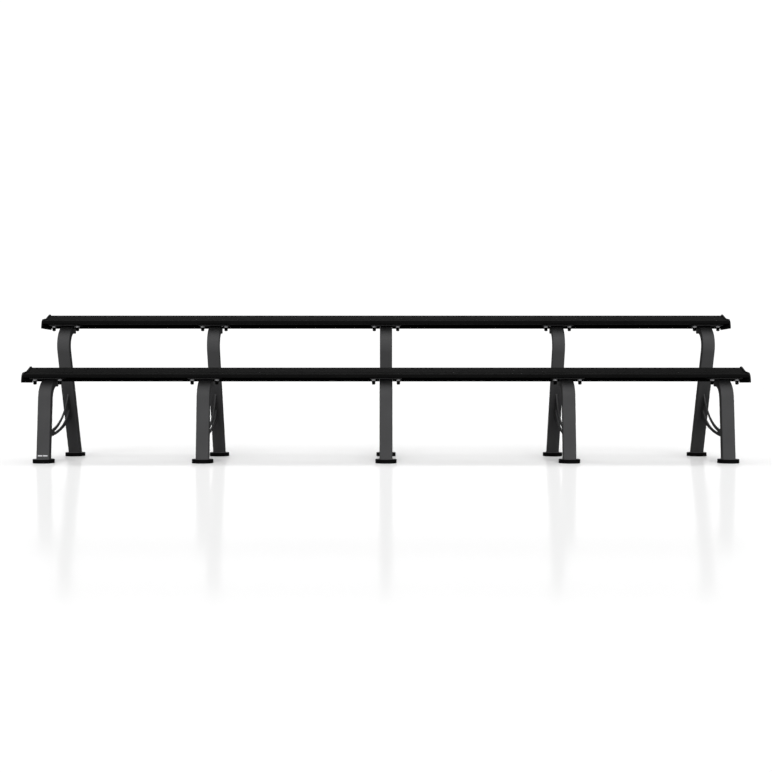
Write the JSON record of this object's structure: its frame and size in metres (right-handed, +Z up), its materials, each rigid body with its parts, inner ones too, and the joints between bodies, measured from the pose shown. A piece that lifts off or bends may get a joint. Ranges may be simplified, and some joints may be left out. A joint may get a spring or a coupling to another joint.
{
  "type": "two-tier dumbbell rack",
  "caption": "Long low rack with two full-length trays, one above and behind the other, bolted to bent-tube frames with curved braces and round rubber feet.",
  "frame": {"origin": "on the floor, midway between the two rows of feet and midway along the trays", "axes": "+X along the trays, +Y from the lower front tray to the upper rear tray, +Z up"},
  "size_m": [3.634, 0.666, 0.7708],
  "materials": {
    "leg_coat": "dark grey powder coat, satin, fine texture",
    "tray_coat": "black powder coat, satin",
    "cap_plastic": "moulded black plastic, matte",
    "foot_rubber": "moulded black rubber",
    "zinc": "bright zinc plating"
  },
  "bodies": {
    "root": {"front_leg_far_left": "leg_coat", "rear_leg_far_left": "leg_coat", "brace_far_left": "leg_coat", "front_foot_far_left": "foot_rubber", "rear_foot_far_left": "foot_rubber", "front_leg_left": "leg_coat", "rear_leg_left": "leg_coat", "brace_left": "leg_coat", "front_foot_left": "foot_rubber", "rear_foot_left": "foot_rubber", "front_leg_middle": "leg_coat", "rear_leg_middle": "leg_coat", "brace_middle": "leg_coat", "front_foot_middle": "foot_rubber", "rear_foot_middle": "foot_rubber", "front_leg_right": "leg_coat", "rear_leg_right": "leg_coat", "brace_right": "leg_coat", "front_foot_right": "foot_rubber", "rear_foot_right": "foot_rubber", "front_leg_far_right": "leg_coat", "rear_leg_far_right": "leg_coat", "brace_far_right": "leg_coat", "front_foot_far_right": "foot_rubber", "rear_foot_far_right": "foot_rubber", "lower_tray": "tray_coat", "lower_end_cap_left": "cap_plastic", "lower_end_cap_right": "cap_plastic", "lower_bolt_far_left_left": "zinc", "lower_bolt_far_left_right": "zinc", "lower_bolt_left_left": "zinc", "lower_bolt_left_right": "zinc", "lower_bolt_middle_left": "zinc", "lower_bolt_middle_right": "zinc", "lower_bolt_right_left": "zinc", "lower_bolt_right_right": "zinc", "lower_bolt_far_right_left": "zinc", "lower_bolt_far_right_right": "zinc", "upper_tray": "tray_coat", "upper_end_cap_left": "cap_plastic", "upper_end_cap_right": "cap_plastic", "upper_bolt_far_left_left": "zinc", "upper_bolt_far_left_right": "zinc", "upper_bolt_left_left": "zinc", "upper_bolt_left_right": "zinc", "upper_bolt_middle_left": "zinc", "upper_bolt_middle_right": "zinc", "upper_bolt_right_left": "zinc", "upper_bolt_right_right": "zinc", "upper_bolt_far_right_left": "zinc", "upper_bolt_far_right_right": "zinc"}
  },
  "joints": []
}
